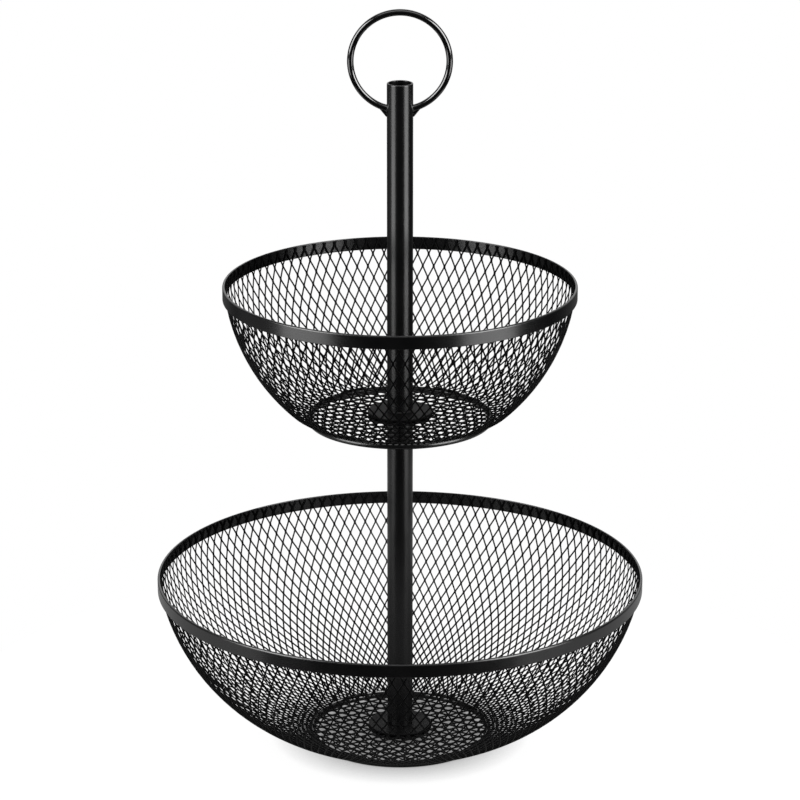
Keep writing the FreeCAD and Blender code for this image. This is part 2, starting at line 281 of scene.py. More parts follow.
def outward_faces(name, points, faces):
    """Mesh of these points and faces with every face turned outwards."""
    mesh = bpy.data.meshes.new(name)
    mesh.from_pydata(points, [], faces)
    sides = bmesh.new()
    sides.from_mesh(mesh)
    bmesh.ops.recalc_face_normals(sides, faces=sides.faces)
    sides.to_mesh(mesh)
    sides.free()
    return mesh


def turned(name, outline, steps=TURN_STEPS):
    """Closed mesh of a closed outline of (radius, height) points turned about the post."""
    count = len(outline)
    points, faces = [], []
    for step in range(steps):
        angle = 2 * math.pi * step / steps
        points += [(r * math.cos(angle), r * math.sin(angle), z) for r, z in outline]
        following = (step + 1) % steps
        for at in range(count):
            beside = (at + 1) % count
            faces.append((step * count + at, following * count + at,
                          following * count + beside, step * count + beside))
    return outward_faces(name, points, faces)


def turned_solid(name, outline, steps):
    """Closed mesh of an outline that starts and ends on the post's middle line."""
    points = [(0.0, 0.0, outline[0][1]), (0.0, 0.0, outline[-1][1])]
    ring = outline[1:-1]
    faces = []
    for step in range(steps):
        angle = 2 * math.pi * step / steps
        points += [(r * math.cos(angle), r * math.sin(angle), z) for r, z in ring]
        here, following = 2 + step * len(ring), 2 + (step + 1) % steps * len(ring)
        faces.append((0, following, here))
        for at in range(len(ring) - 1):
            faces.append((here + at, following + at, following + at + 1, here + at + 1))
        faces.append((here + len(ring) - 1, following + len(ring) - 1, 1))
    return outward_faces(name, points, faces)


def reach(node):
    """Outer radius, lowest and highest level of a round node, in millimetres."""
    low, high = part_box(node)
    return high.x / MM, low.z / MM, high.z / MM


print("lower rim's radius, foot and top:", reach("lower_rim_band"))

# %% [markdown]
# ## Rim bands
# A flat strip of steel is bent to a hoop round each basket's mouth, and the mesh is lapped inside it. Its
# outer top edge is rounded to a millimetre, which draws the thin bright line on the rim. The other edges are
# only broken by the coating. A Bevel modifier would round all edges alike, so the outline does it instead.

# %% Rim bands
TIERS = ("lower", "upper")
BAND_THICKNESS = 1.5
BAND_ROUNDINGS = (0.3, 0.3, 1.0, 0.3)  # inner foot, outer foot, outer top and inner top


def round_section(node, inner, roundings):
    """Rectangular outline of a round node with a hole of this radius and four rounded corners."""
    outer, low, high = reach(node)
    corners = [(inner, low), (outer, low), (outer, high), (inner, high)]
    return rounded([(x, z, rounding) for (x, z), rounding in zip(corners, roundings)])


for tier in TIERS:
    outer, _, _ = reach(tier + "_rim_band")
    band_outline = round_section(tier + "_rim_band", outer - BAND_THICKNESS, BAND_ROUNDINGS)
    finish_piece(tier + "_rim", turned(tier + "_rim", band_outline), steel_coat, tier + "_tier",
                 [tier + "_rim_band"])

# %% [markdown]
# ## Foot rings
# Each basket ends at a ring of 4 mm wire. The lower one stands on the table, and its underside is pressed
# flat. A ready-made torus has no flat, so a circle is drawn, cut off at the table's level and turned.

# %% Foot rings
FOOT_WIRE = 4.0
WIRE_SIDES = 28

for tier in TIERS:
    outer, low, high = reach(tier + "_foot_ring")
    wire_radius = FOOT_WIRE / 2
    ring_outline = []
    for side in range(WIRE_SIDES):
        angle = 2 * math.pi * side / WIRE_SIDES
        z = high - wire_radius + wire_radius * math.sin(angle)
        ring_outline.append(((outer - wire_radius + wire_radius * math.cos(angle)) * MM, max(z, low) * MM))
    finish_piece(tier + "_foot", turned(tier + "_foot", ring_outline), steel_coat, tier + "_tier",
                 [tier + "_foot_ring"])

# %% [markdown]
# ## Post, plates and washer
# The post is two lengths of 16 mm tube. The cut ends are tumbled before coating, so the open top end has a
# soft lip. A plate on each side clamps the floor mesh, and a nylon washer lets the upper tube turn. Each is
# a rectangle turned about the post, so one helper makes them all.

# %% Post, plates and washer
TUBE_WALL = 1.0
TUBE_RADIUS = 8.0
TUBE_BORE_RADIUS = TUBE_RADIUS - TUBE_WALL
BOLT_HOLE_RADIUS = 3.3
TUBE_ROUNDINGS = (0.3, 0.5, 0.5, 0.3)
PLATE_ROUNDINGS = (0.35, 0.35, 0.35, 0.35)
WASHER_ROUNDINGS = (0.2, 0.2, 0.2, 0.2)
POST_STEPS = 96


def finish_round(name, node, body, coat, inner, roundings):
    """Finishes a piece of the post: a round node's rounded section, turned about the post."""
    section = round_section(node, inner, roundings)
    finish_piece(name, turned(name, section, POST_STEPS), coat, body, [node])


for tier, body in zip(TIERS, ("lower_tier", "upper_post")):
    finish_round(tier + "_tube", tier + "_post_tube", body, steel_coat,
                 TUBE_BORE_RADIUS, TUBE_ROUNDINGS)
for plate in ("_hub", "_clamp"):
    for tier in TIERS:
        finish_round(tier + plate, tier + plate + "_plate", tier + "_tier", plate_coat,
                     BOLT_HOLE_RADIUS, PLATE_ROUNDINGS)
finish_round("washer", "post_washer", "turning_washer", nylon, BOLT_HOLE_RADIUS,
             WASHER_ROUNDINGS)

# %% [markdown]
# ## Expanded mesh
# Expanded mesh is a sheet that is slit and pulled open, so its strands run in zigzags and join their
# neighbours at short upright bonds. Thousands of alike openings that follow a bowl are work for Geometry
# Nodes: one zigzag strand and its mirror image are drawn down the bowl, and the pair is repeated round it.
#
# The tree reads two numbers from the bowl's outline. "row" counts the rows of bonds down the wall: folded
# back and forth it gives the zigzag. "lean" is the wall's lean, which turns the strand's flat section to
# lie in the wall.

# %% Tree helpers
def new_tree(name, counts, sizes):
    """Empty Geometry Nodes tree with these named inputs, and the outputs of its input node by name."""
    tree = bpy.data.node_groups.new(name, "GeometryNodeTree")
    kinds = [("Geometry", "NodeSocketGeometry")]
    kinds += [(count, "NodeSocketInt") for count in counts]
    kinds += [(size, "NodeSocketFloat") for size in sizes]
    kinds.append(("Material", "NodeSocketMaterial"))
    for socket, kind in kinds:
        tree.interface.new_socket(socket, in_out="INPUT", socket_type=kind)
    tree.interface.new_socket("Geometry", in_out="OUTPUT", socket_type="NodeSocketGeometry")
    group = tree.nodes.new("NodeGroupInput")
    return tree, {socket.name: socket for socket in group.outputs if socket.name}


def end_tree(tree, geometry, material):
    """Ends a tree: instances become one mesh, because an export drops them, and it gets its material."""
    single = add_node(tree, "GeometryNodeRealizeInstances", {"Geometry": geometry})
    coated = add_node(tree, "GeometryNodeSetMaterial", {
        "Geometry": single.outputs["Geometry"], "Material": material})
    add_node(tree, "NodeGroupOutput", {"Geometry": coated.outputs["Geometry"]})
    print(tree.name, "nodes:", len(tree.nodes))


# %% Strand helpers
STRAND_SIDES = 6
HEXAGON_SHARE = math.sin(math.radians(60))  # a hexagon's height as a share of its width


def read_number(tree, name):
    """Output that reads the number kept on each point under this name."""
    node = add_node(tree, "GeometryNodeInputNamedAttribute", {"Name": name}, data_type="FLOAT")
    return node.outputs["Attribute"]


def strand_section(tree, along_normal, across):
    """Six-sided section of a strand: its size along the curve's normal, and across it."""
    circle = add_node(tree, "GeometryNodeCurvePrimitiveCircle", {"Resolution": STRAND_SIDES, "Radius": 0.5})
    widened = number(tree, "DIVIDE", across, HEXAGON_SHARE)
    scale = vector(tree, X=along_normal, Y=widened, Z=1.0)
    section = add_node(tree, "GeometryNodeTransform", {"Geometry": circle.outputs["Curve"], "Scale": scale})
    return section.outputs["Geometry"]


def zigzag(tree, half_pitch, bond_share, bond_gap):
    """Sideways step of the zigzag: from one bond's side to the next one's, and upright along each bond."""
    fold = number(tree, "PINGPONG", read_number(tree, "row"), 1.0)
    far_share = number(tree, "SUBTRACT", 1.0, bond_share)
    far_step = number(tree, "SUBTRACT", half_pitch, bond_gap)
    return map_range(tree, fold, (bond_share, far_share), (bond_gap, far_step))


# %% Wall tree: the zigzag and its thickness
FOOT_SHARE = 0.37  # the foot's radius as a share of the rim's

wall_tree, wall_size = new_tree("expanded_wall", ["Bonds"], [
    "First bond", "Bond share", "Bond gap", "Strand width", "Strand thickness", "Rim radius",
    "Foot thinning"])
position = add_node(wall_tree, "GeometryNodeInputPosition").outputs["Position"]
radius = add_node(wall_tree, "ShaderNodeSeparateXYZ", {"Vector": position}).outputs["X"]
half_pitch = number(wall_tree, "DIVIDE", math.pi, wall_size["Bonds"])
bond_angle = number(wall_tree, "DIVIDE", wall_size["Bond gap"], radius)
side_step = zigzag(wall_tree, half_pitch, wall_size["Bond share"], bond_angle)

rim_share = number(wall_tree, "DIVIDE", radius, wall_size["Rim radius"])
thinning = map_range(wall_tree, rim_share, (FOOT_SHARE, 1.0), (wall_size["Foot thinning"], 1.0))
kept_step = add_node(wall_tree, "GeometryNodeStoreNamedAttribute", {
    "Geometry": wall_size["Geometry"], "Name": "side_step", "Value": side_step},
    data_type="FLOAT", domain="POINT")
outline_curve = add_node(wall_tree, "GeometryNodeMeshToCurve", {"Mesh": kept_step.outputs["Geometry"]})
strand_curve = add_node(wall_tree, "GeometryNodeSetCurveRadius", {
    "Curve": outline_curve.outputs["Curve"], "Radius": thinning}).outputs["Curve"]
print("strand nodes:", len(wall_tree.nodes))

# %% Wall tree: a strand and its mirror image
lean = read_number(wall_tree, "lean")
drop = number(wall_tree, "MULTIPLY", number(wall_tree, "SINE", lean), -1.0)
outward = vector(wall_tree, X=number(wall_tree, "COSINE", lean), Z=drop)
step_read = read_number(wall_tree, "side_step")
section = strand_section(wall_tree, wall_size["Strand thickness"], wall_size["Strand width"])
strand_pair = add_node(wall_tree, "GeometryNodeJoinGeometry")
for hand in (1.0, -1.0):
    angle = number(wall_tree, "MULTIPLY", step_read, hand)
    placed = add_node(wall_tree, "ShaderNodeVectorRotate", {"Vector": position, "Angle": angle},
                      rotation_type="Z_AXIS")
    facing = add_node(wall_tree, "ShaderNodeVectorRotate", {"Vector": outward, "Angle": angle},
                      rotation_type="Z_AXIS")
    faced = add_node(wall_tree, "GeometryNodeSetCurveNormal", {
        "Curve": strand_curve, "Normal": facing.outputs["Vector"]}, mode="FREE")
    swung = add_node(wall_tree, "GeometryNodeSetPosition", {
        "Geometry": faced.outputs["Curve"], "Position": placed.outputs["Vector"]})
    strand = add_node(wall_tree, "GeometryNodeCurveToMesh", {
        "Curve": swung.outputs["Geometry"], "Profile Curve": section, "Fill Caps": True})
    wall_tree.links.new(strand.outputs["Mesh"], strand_pair.inputs["Geometry"])
print("strand pair nodes:", len(wall_tree.nodes))

# %% Wall tree: the pairs round the bowl
around = add_node(wall_tree, "GeometryNodePoints", {"Count": wall_size["Bonds"]})
index = add_node(wall_tree, "GeometryNodeInputIndex").outputs["Index"]
pitch = number(wall_tree, "MULTIPLY", half_pitch, 2.0)
pair_angle = number(wall_tree, "MULTIPLY_ADD", index, pitch, wall_size["First bond"])
pairs = add_node(wall_tree, "GeometryNodeInstanceOnPoints", {
    "Points": around.outputs["Points"], "Instance": strand_pair.outputs["Geometry"],
    "Rotation": vector(wall_tree, Z=pair_angle)})
end_tree(wall_tree, pairs.outputs["Instances"], wall_size["Material"])

# %% [markdown]
# ## Bowl outlines
# Each bowl is an upright hem inside the rim band, a long side arc and a tighter arc to the foot ring. The
# two arcs are solved so that they meet without a kink, which no hand-drawn curve would do. Rows of bonds
# keep their angle to the wall as the bowl narrows, so the gap between two rows is a share of the radius
# there. Counting rows by that rule puts a bond wherever "row" is a whole number.

# %% Bowl outlines
SHEET = 1.0  # thickness of the mesh sheet
RIM_SETBACK = 0.6  # from the rim's top down to the sheet's edge
WALL_SEAT = 0.5  # from the foot wire's middle out to the wall's end
WELD_GAP = 0.05  # between the sheet and the steel it is welded to
OUTLINE_STEPS = 160


def out_of(lean):
    """Direction out of a wall with this lean."""
    return Vector((math.cos(lean), -math.sin(lean)))


def down_along(lean):
    """Direction down along a wall with this lean."""
    return Vector((-math.sin(lean), -math.cos(lean)))


def bowl_outline(tier, rim_lean, foot_lean, side_share):
    """Points of the sheet's middle from the rim down, in millimetres, each with the wall's lean."""
    rim_radius, band_low, rim_high = reach(tier + "_rim_band")
    foot_radius, _, foot_high = reach(tier + "_foot_ring")
    hem_radius = rim_radius - BAND_THICKNESS - WELD_GAP
    start = Vector((hem_radius, band_low))
    end = Vector((foot_radius - FOOT_WIRE / 2 + WALL_SEAT, foot_high + WELD_GAP))
    rim_lean, foot_lean = math.radians(rim_lean), math.radians(foot_lean)
    first_run, last_run = down_along(rim_lean), down_along(foot_lean)
    ratio = side_share / (1 - side_share)
    span = end - start
    bend = 2 * ratio * (1 - first_run.dot(last_run))
    along = span.dot(first_run * ratio + last_run)
    knuckle_tangent = (math.sqrt(along ** 2 + bend * span.dot(span)) - along) / bend
    side_tangent = ratio * knuckle_tangent
    meeting = (end - last_run * knuckle_tangent) - (start + first_run * side_tangent)
    meeting_lean = math.atan2(-meeting.x, -meeting.y)
    side_radius = side_tangent / math.tan((meeting_lean - rim_lean) / 2)
    knuckle_radius = knuckle_tangent / math.tan((foot_lean - meeting_lean) / 2)
    middle = SHEET / 2
    outline = [(Vector((hem_radius - middle, rim_high - RIM_SETBACK)), 0.0),
               (Vector((hem_radius - middle, band_low)), 0.0)]
    for centre, arc_radius, lean_from, lean_to in (
            (start - out_of(rim_lean) * side_radius, side_radius, rim_lean, meeting_lean),
            (end - out_of(foot_lean) * knuckle_radius, knuckle_radius, meeting_lean, foot_lean)):
        for at in range(1, OUTLINE_STEPS + 1):
            lean_at = lean_from + (lean_to - lean_from) * at / OUTLINE_STEPS
            outline.append((centre + out_of(lean_at) * (arc_radius - middle), lean_at))
    return outline


# %% Rows of bonds
ROW_FADE = 0.3  # how far down the wall the rim's gap between rows fades to the foot's
BOND_SHARE = 0.1  # half a bond's height as a share of a row


def count_rows(outline, first_row, rim_step, foot_step):
    """Row number of each outline point, from the gaps between rows at the rim and the foot."""
    rows, climbed, row = [], 0.0, -first_row / rim_step
    for at, (point, _) in enumerate(outline):
        if at:
            previous = outline[at - 1][0]
            share = (point - previous).length / ((point.x + previous.x) / 2)
            climbed += share
            row += share / (foot_step + (rim_step - foot_step) * math.exp(-(climbed / ROW_FADE) ** 2))
        rows.append(row)
    return rows


def bond_ends(rows):
    """Row numbers at both ends of every bond from the first to the last of these rows."""
    ends = [rows[0]]
    for row in range(math.ceil(rows[0] - BOND_SHARE), math.floor(rows[-1] + BOND_SHARE) + 1):
        ends += [at for at in (row - BOND_SHARE, row + BOND_SHARE) if rows[0] < at < rows[-1]]
    ends.append(rows[-1])
    return ends


def read_at(value, values, results):
    """Result at a value by straight lines between the listed values."""
    for at in range(1, len(values)):
        if value <= values[at]:
            share = (value - values[at - 1]) / (values[at] - values[at - 1])
            return results[at - 1] + (results[at] - results[at - 1]) * share
    return results[-1]


# %% [markdown]
# ## Mesh walls
# The base of each wall is a bare line of points down the bowl, one at each end of every bond. The tree
# turns it into the wall, which is then kept as a plain mesh, because a finished piece has no live modifier.
# Near the foot the openings get small and the strands thinner, because the sheet was drawn into a bowl.

# %% Growing helpers
def set_size(modifier, tree, values):
    """Sets a modifier's inputs, found by name, through their sockets' identifiers."""
    for socket in tree.interface.items_tree:
        if socket.item_type == "SOCKET" and socket.in_out == "INPUT" and socket.name in values:
            modifier[socket.identifier] = values[socket.name]


def line_mesh(name, points, **kept):
    """Mesh of a bare line through these points, with numbers kept on the points under their names."""
    mesh = bpy.data.meshes.new(name)
    mesh.from_pydata(points, [(at, at + 1) for at in range(len(points) - 1)], [])
    for kept_name, values in kept.items():
        mesh.attributes.new(kept_name, "FLOAT", "POINT").data.foreach_set("value", values)
    return mesh


def grown(name, base, tree, values):
    """Plain mesh of a base mesh after a Geometry Nodes tree with these sizes."""
    holder = add_object(name + "_base", base)
    modifier = holder.modifiers.new(name, "NODES")
    modifier.node_group = tree
    set_size(modifier, tree, values)
    bpy.context.view_layer.update()
    evaluated = holder.evaluated_get(bpy.context.evaluated_depsgraph_get())
    mesh = bpy.data.meshes.new_from_object(evaluated)
    mesh.name = name
    holder.modifiers.remove(modifier)
    bpy.data.objects.remove(holder)
    return mesh


# %% Mesh walls
BOND_GAP = 0.28
STRAND_WIDTH = 0.95
STRAND_THICKNESS = 0.75
FOOT_THINNING = 0.62
MESH_CORNER_ANGLE = math.radians(70)
FRONT = -90.0  # degrees from the X axis to the side that faces the camera

bowls = {
    "lower": {"shape": {"rim_lean": 12.5, "foot_lean": 79.0, "side_share": 0.92},
              "rows": {"first_row": 0.0806, "rim_step": 0.048, "foot_step": 0.048},
              "bonds": 131, "first_bond": 0.87},
    "upper": {"shape": {"rim_lean": 9.0, "foot_lean": 85.0, "side_share": 0.84},
              "rows": {"first_row": 0.246, "rim_step": 0.0757, "foot_step": 0.066},
              "bonds": 93, "first_bond": -0.29},
}
for tier, bowl in bowls.items():
    outline = bowl_outline(tier, **bowl["shape"])
    rows = count_rows(outline, **bowl["rows"])
    wanted = bond_ends(rows)
    radii = [point.x for point, _ in outline]
    levels = [point.y for point, _ in outline]
    points = [(read_at(row, rows, radii) * MM, 0.0, read_at(row, rows, levels) * MM) for row in wanted]
    leans = [read_at(row, rows, [lean for _, lean in outline]) for row in wanted]
    base = line_mesh(tier + "_outline", points, row=wanted, lean=leans)
    wall = grown(tier + "_wall", base, wall_tree, {
        "Bonds": bowl["bonds"], "First bond": math.radians(bowl["first_bond"] + FRONT),
        "Bond share": BOND_SHARE, "Bond gap": BOND_GAP * MM, "Strand width": STRAND_WIDTH * MM,
        "Strand thickness": STRAND_THICKNESS * MM, "Rim radius": points[0][0],
        "Foot thinning": FOOT_THINNING, "Material": mesh_coat})
    finish_piece(tier + "_wall", wall, mesh_coat, tier + "_tier",
                 [tier + "_mesh_wall"], MESH_CORNER_ANGLE)

# %% [markdown]
# ## Mesh floors
# A flat disc of the same mesh lies on each foot ring. It was never drawn into a bowl, so its diamonds are
# larger, and they lie with their long side across the picture. The tree repeats one zigzag and its mirror
# image side by side, cuts the strands off at the ring and under the plate, and only then gives them a
# section, so that every cut end is closed. A Boolean would leave them open.

# %% Floor tree: lines side by side
floor_tree, floor_size = new_tree("expanded_floor", ["Columns"], [
    "Column width", "Bond share", "Bond gap", "Strand width", "Strand thickness", "Outer radius",
    "Inner radius"])
half_column = number(floor_tree, "MULTIPLY", floor_size["Column width"], 0.5)
side_step = zigzag(floor_tree, half_column, floor_size["Bond share"], floor_size["Bond gap"])
strand_pair = add_node(floor_tree, "GeometryNodeJoinGeometry")
for hand in (1.0, -1.0):
    sideways = vector(floor_tree, X=number(floor_tree, "MULTIPLY", side_step, hand))
    moved = add_node(floor_tree, "GeometryNodeSetPosition", {
        "Geometry": floor_size["Geometry"], "Offset": sideways})
    floor_tree.links.new(moved.outputs["Geometry"], strand_pair.inputs["Geometry"])

columns = add_node(floor_tree, "GeometryNodePoints", {"Count": floor_size["Columns"]})
column = add_node(floor_tree, "GeometryNodeInputIndex").outputs["Index"]
middle = number(floor_tree, "DIVIDE", number(floor_tree, "SUBTRACT", floor_size["Columns"], 1.0), 2.0)
from_middle = number(floor_tree, "SUBTRACT", column, middle)
column_x = number(floor_tree, "MULTIPLY", from_middle, floor_size["Column width"])
set_out = add_node(floor_tree, "GeometryNodeSetPosition", {
    "Geometry": columns.outputs["Points"], "Position": vector(floor_tree, X=column_x)})
rows_out = add_node(floor_tree, "GeometryNodeInstanceOnPoints", {
    "Points": set_out.outputs["Geometry"], "Instance": strand_pair.outputs["Geometry"]})
lines = add_node(floor_tree, "GeometryNodeRealizeInstances", {"Geometry": rows_out.outputs["Instances"]})
print("floor line nodes:", len(floor_tree.nodes))

# %% Floor tree: cut and thickened
floor_position = add_node(floor_tree, "GeometryNodeInputPosition").outputs["Position"]
flat = add_node(floor_tree, "ShaderNodeVectorMath", {0: floor_position, 1: (1.0, 1.0, 0.0)},
                operation="MULTIPLY")
from_post = add_node(floor_tree, "ShaderNodeVectorMath", {0: flat.outputs["Vector"]}, operation="LENGTH")
too_far = number(floor_tree, "GREATER_THAN", from_post.outputs["Value"], floor_size["Outer radius"])
too_near = number(floor_tree, "LESS_THAN", from_post.outputs["Value"], floor_size["Inner radius"])
cut_off = number(floor_tree, "ADD", too_far, too_near)
cut_lines = add_node(floor_tree, "GeometryNodeDeleteGeometry", {
    "Geometry": lines.outputs["Geometry"], "Selection": cut_off}, domain="POINT")
floor_curves = add_node(floor_tree, "GeometryNodeMeshToCurve", {"Mesh": cut_lines.outputs["Geometry"]})
upright = add_node(floor_tree, "GeometryNodeSetCurveNormal", {"Curve": floor_curves.outputs["Curve"]},
                   mode="Z_UP")
floor_section = strand_section(floor_tree, floor_size["Strand width"], floor_size["Strand thickness"])
floor_mesh = add_node(floor_tree, "GeometryNodeCurveToMesh", {
    "Curve": upright.outputs["Curve"], "Profile Curve": floor_section, "Fill Caps": True})
end_tree(floor_tree, floor_mesh.outputs["Mesh"], floor_size["Material"])

# %% Mesh floors
FLOOR_COLUMN = 7.6
FLOOR_ROW = 6.25
FLOOR_STRAND = 1.1
FLOOR_CUT_STEPS = 5
FLOOR_HOLE_RADIUS = 11.0
QUARTER_TURN = math.radians(90)

for tier in TIERS:
    outer, low, high = reach(tier + "_mesh_floor")
    row_limit = math.ceil(outer / FLOOR_ROW)
    columns_needed = 2 * math.ceil(outer / FLOOR_COLUMN) + 1
    kinks = sorted(row + side * BOND_SHARE for row in range(-row_limit, row_limit + 1) for side in (-1, 1))
    line_rows = []
    for first, last in zip(kinks, kinks[1:]):
        line_rows += [first + (last - first) * cut / FLOOR_CUT_STEPS for cut in range(FLOOR_CUT_STEPS)]
    level = (low + high) / 2
    points = [(0.0, row * FLOOR_ROW * MM, level * MM) for row in line_rows]
    base = line_mesh(tier + "_floor_line", points, row=[row + 1 for row in line_rows])
    floor = grown(tier + "_floor", base, floor_tree, {
        "Columns": columns_needed, "Column width": FLOOR_COLUMN * MM, "Bond share": BOND_SHARE,
        "Bond gap": BOND_GAP * MM, "Strand width": FLOOR_STRAND * MM, "Strand thickness": (high - low) * MM,
        "Outer radius": outer * MM, "Inner radius": FLOOR_HOLE_RADIUS * MM, "Material": mesh_coat})
    floor.transform(Matrix.Rotation(QUARTER_TURN, 4, "Z"))
    finish_piece(tier + "_floor", floor, mesh_coat, tier + "_tier",
                 [tier + "_mesh_floor"], MESH_CORNER_ANGLE)

# %% [markdown]
# ## Ring handle
# A length of 4 mm wire is bent round a former and its two ends are welded to the sides of the upper tube.
# The weld leaves a small flare where wire meets tube. A curve with a round bevel would give an even wire, so
# the rings of points are set out one by one, a little larger towards the welds.

# %% Ring handle
HANDLE_WIRE = 4.0
WIRE_STEPS = 168
WELD_FLARE = 0.6
WELD_REACH = 1.1
WELD_DEPTH = 0.5

_, handle_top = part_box("ring_handle")
ring_radius = handle_top.x / MM - HANDLE_WIRE / 2
ring_z = handle_top.z / MM - HANDLE_WIRE / 2 - ring_radius
weld_angle = math.asin((TUBE_RADIUS - WELD_DEPTH) / ring_radius)
ring_points, ring_faces = [], []
for step in range(WIRE_STEPS + 1):
    angle = weld_angle + (2 * math.pi - 2 * weld_angle) * step / WIRE_STEPS
    from_weld = min(angle - weld_angle, 2 * math.pi - weld_angle - angle) * ring_radius
    thickness = HANDLE_WIRE / 2 + WELD_FLARE * math.exp(-from_weld / WELD_REACH)
    for side in range(WIRE_SIDES):
        around_wire = 2 * math.pi * side / WIRE_SIDES
        distance = ring_radius + thickness * math.cos(around_wire)
        ring_points.append((distance * math.sin(angle) * MM, thickness * math.sin(around_wire) * MM,
                            (ring_z - distance * math.cos(angle)) * MM))
for step in range(WIRE_STEPS):
    for side in range(WIRE_SIDES):
        beside = (side + 1) % WIRE_SIDES
        ring_faces.append((step * WIRE_SIDES + side, step * WIRE_SIDES + beside,
                           (step + 1) * WIRE_SIDES + beside, (step + 1) * WIRE_SIDES + side))
ring_faces.append(tuple(range(WIRE_SIDES)))
ring_faces.append(tuple(range(WIRE_STEPS * WIRE_SIDES, (WIRE_STEPS + 1) * WIRE_SIDES)))
finish_piece("ring", outward_faces("ring", ring_points, ring_faces), wire_coat, "upper_post",
             ["ring_handle"])

# %% [markdown]
# ## Gussets
# A small three-cornered brace under each end of the wire takes the load when the stand is carried by its
# ring. Its sloping edge is a round bead and the web behind it is thinner, so the bead's upper flank catches
# the light and the rest of the corner stays dark. A few flat faces and two ready-made shapes are enough. The
# ready-made ball lists its faces in a new order on each run, so the mesh is sorted before it is kept.

# %% Gussets
GUSSET_REACH = 5.2
GUSSET_DROP = 4.5
GUSSET_WEB = 1.0
BEAD_RADIUS = 0.9
BEAD_SIDES = 20
SORT_DIRECTION = Vector((1.0, 0.37, 0.61))  # slanting, so that no two points tie


def wire_level(x):
    """Level of the middle of the wire's lower half, this far to the side of the post's middle line."""
    return ring_z - math.sqrt(ring_radius ** 2 - x ** 2)


def add_gusset(build, side):
    """Adds one gusset's web and bead to a mesh under construction: side is 1 for +X and -1 for -X."""
    inside = TUBE_RADIUS - WELD_DEPTH
    outside = TUBE_RADIUS + GUSSET_REACH
    toe_level = wire_level(TUBE_RADIUS) - GUSSET_DROP
    corners = [(inside, wire_level(inside)), (outside, wire_level(outside)), (TUBE_RADIUS, toe_level),
               (inside, toe_level)]
    front = [build.verts.new((side * x * MM, -GUSSET_WEB / 2 * MM, z * MM)) for x, z in corners]
    back = [build.verts.new((side * x * MM, GUSSET_WEB / 2 * MM, z * MM)) for x, z in corners]
    build.faces.new(front)
    build.faces.new(back[::-1])
    for here in range(len(corners)):
        there = (here + 1) % len(corners)
        build.faces.new((front[here], front[there], back[there], back[here]))
    top = Vector((side * outside, 0, wire_level(outside))) * MM
    toe = Vector((side * TUBE_RADIUS, 0, toe_level)) * MM
    turn = (top - toe).to_track_quat("Z", "Y").to_matrix().to_4x4()
    bmesh.ops.create_cone(
        build, cap_ends=True, segments=BEAD_SIDES, radius1=BEAD_RADIUS * MM, radius2=BEAD_RADIUS * MM,
        depth=(top - toe).length, matrix=Matrix.Translation((top + toe) / 2) @ turn)
    bmesh.ops.create_uvsphere(
        build, u_segments=BEAD_SIDES, v_segments=BEAD_SIDES // 2, radius=BEAD_RADIUS * MM,
        matrix=Matrix.Translation(toe) @ turn)


gusset_build = bmesh.new()
for side in (1, -1):
    add_gusset(gusset_build, side)
bmesh.ops.recalc_face_normals(gusset_build, faces=gusset_build.faces)
gusset_build.verts.sort(key=lambda point: point.co.dot(SORT_DIRECTION))
gusset_build.faces.sort(key=lambda face: face.calc_center_median().dot(SORT_DIRECTION))
gussets = bpy.data.meshes.new("gussets")
gusset_build.to_mesh(gussets)
gusset_build.free()
finish_piece("gussets", gussets, steel_coat, "upper_post", ["handle_gussets"])

# %% [markdown]
# ## Joining stud
# The two tubes are screwed together on a 6 mm stud with a pitch of 1 mm. The thread shows only when the
# upper tube is unscrewed. Bump alone would leave its outline smooth, so a spiral with a small ridge for its
# section is wound on a plain core.

# %% Thread tree
SPIRAL_STEPS = 24

thread_tree, thread_size = new_tree("thread", [], [
    "Turns", "Length", "Root radius", "Depth", "Root width", "Crest width", "Low end"])
spiral = add_node(thread_tree, "GeometryNodeCurveSpiral", {
    "Resolution": SPIRAL_STEPS, "Rotations": thread_size["Turns"], "Height": thread_size["Length"],
    "Start Radius": thread_size["Root radius"], "End Radius": thread_size["Root radius"]})
spiral_up = add_node(thread_tree, "GeometryNodeSetCurveNormal", {"Curve": spiral.outputs["Curve"]},
                     mode="Z_UP")
ridge = add_node(thread_tree, "GeometryNodeCurvePrimitiveQuadrilateral", {
    "Bottom Width": thread_size["Root width"], "Top Width": thread_size["Crest width"],
    "Height": number(thread_tree, "MULTIPLY", thread_size["Depth"], 2.0), "Offset": 0.0}, mode="TRAPEZOID")
ridge_out = add_node(thread_tree, "GeometryNodeTransform", {
    "Geometry": ridge.outputs["Curve"], "Rotation": (0.0, 0.0, QUARTER_TURN)})
wound = add_node(thread_tree, "GeometryNodeCurveToMesh", {
    "Curve": spiral_up.outputs["Curve"], "Profile Curve": ridge_out.outputs["Geometry"], "Fill Caps": True})
thread_place = add_node(thread_tree, "GeometryNodeTransform", {
    "Geometry": wound.outputs["Mesh"], "Translation": vector(thread_tree, Z=thread_size["Low end"])})
with_core = add_node(thread_tree, "GeometryNodeJoinGeometry")
thread_tree.links.new(thread_size["Geometry"], with_core.inputs["Geometry"])
thread_tree.links.new(thread_place.outputs["Geometry"], with_core.inputs["Geometry"])
end_tree(thread_tree, with_core.outputs["Geometry"], thread_size["Material"])

# %% Joining stud
THREAD_PITCH = 1.0
THREAD_DEPTH = 0.6
THREAD_CHAMFER = 0.8
CREST_WIDTH = 0.15
ROOT_WIDTH = 1.8 * THREAD_PITCH  # the ridge's lower half is inside the core
STUD_STEPS = 32

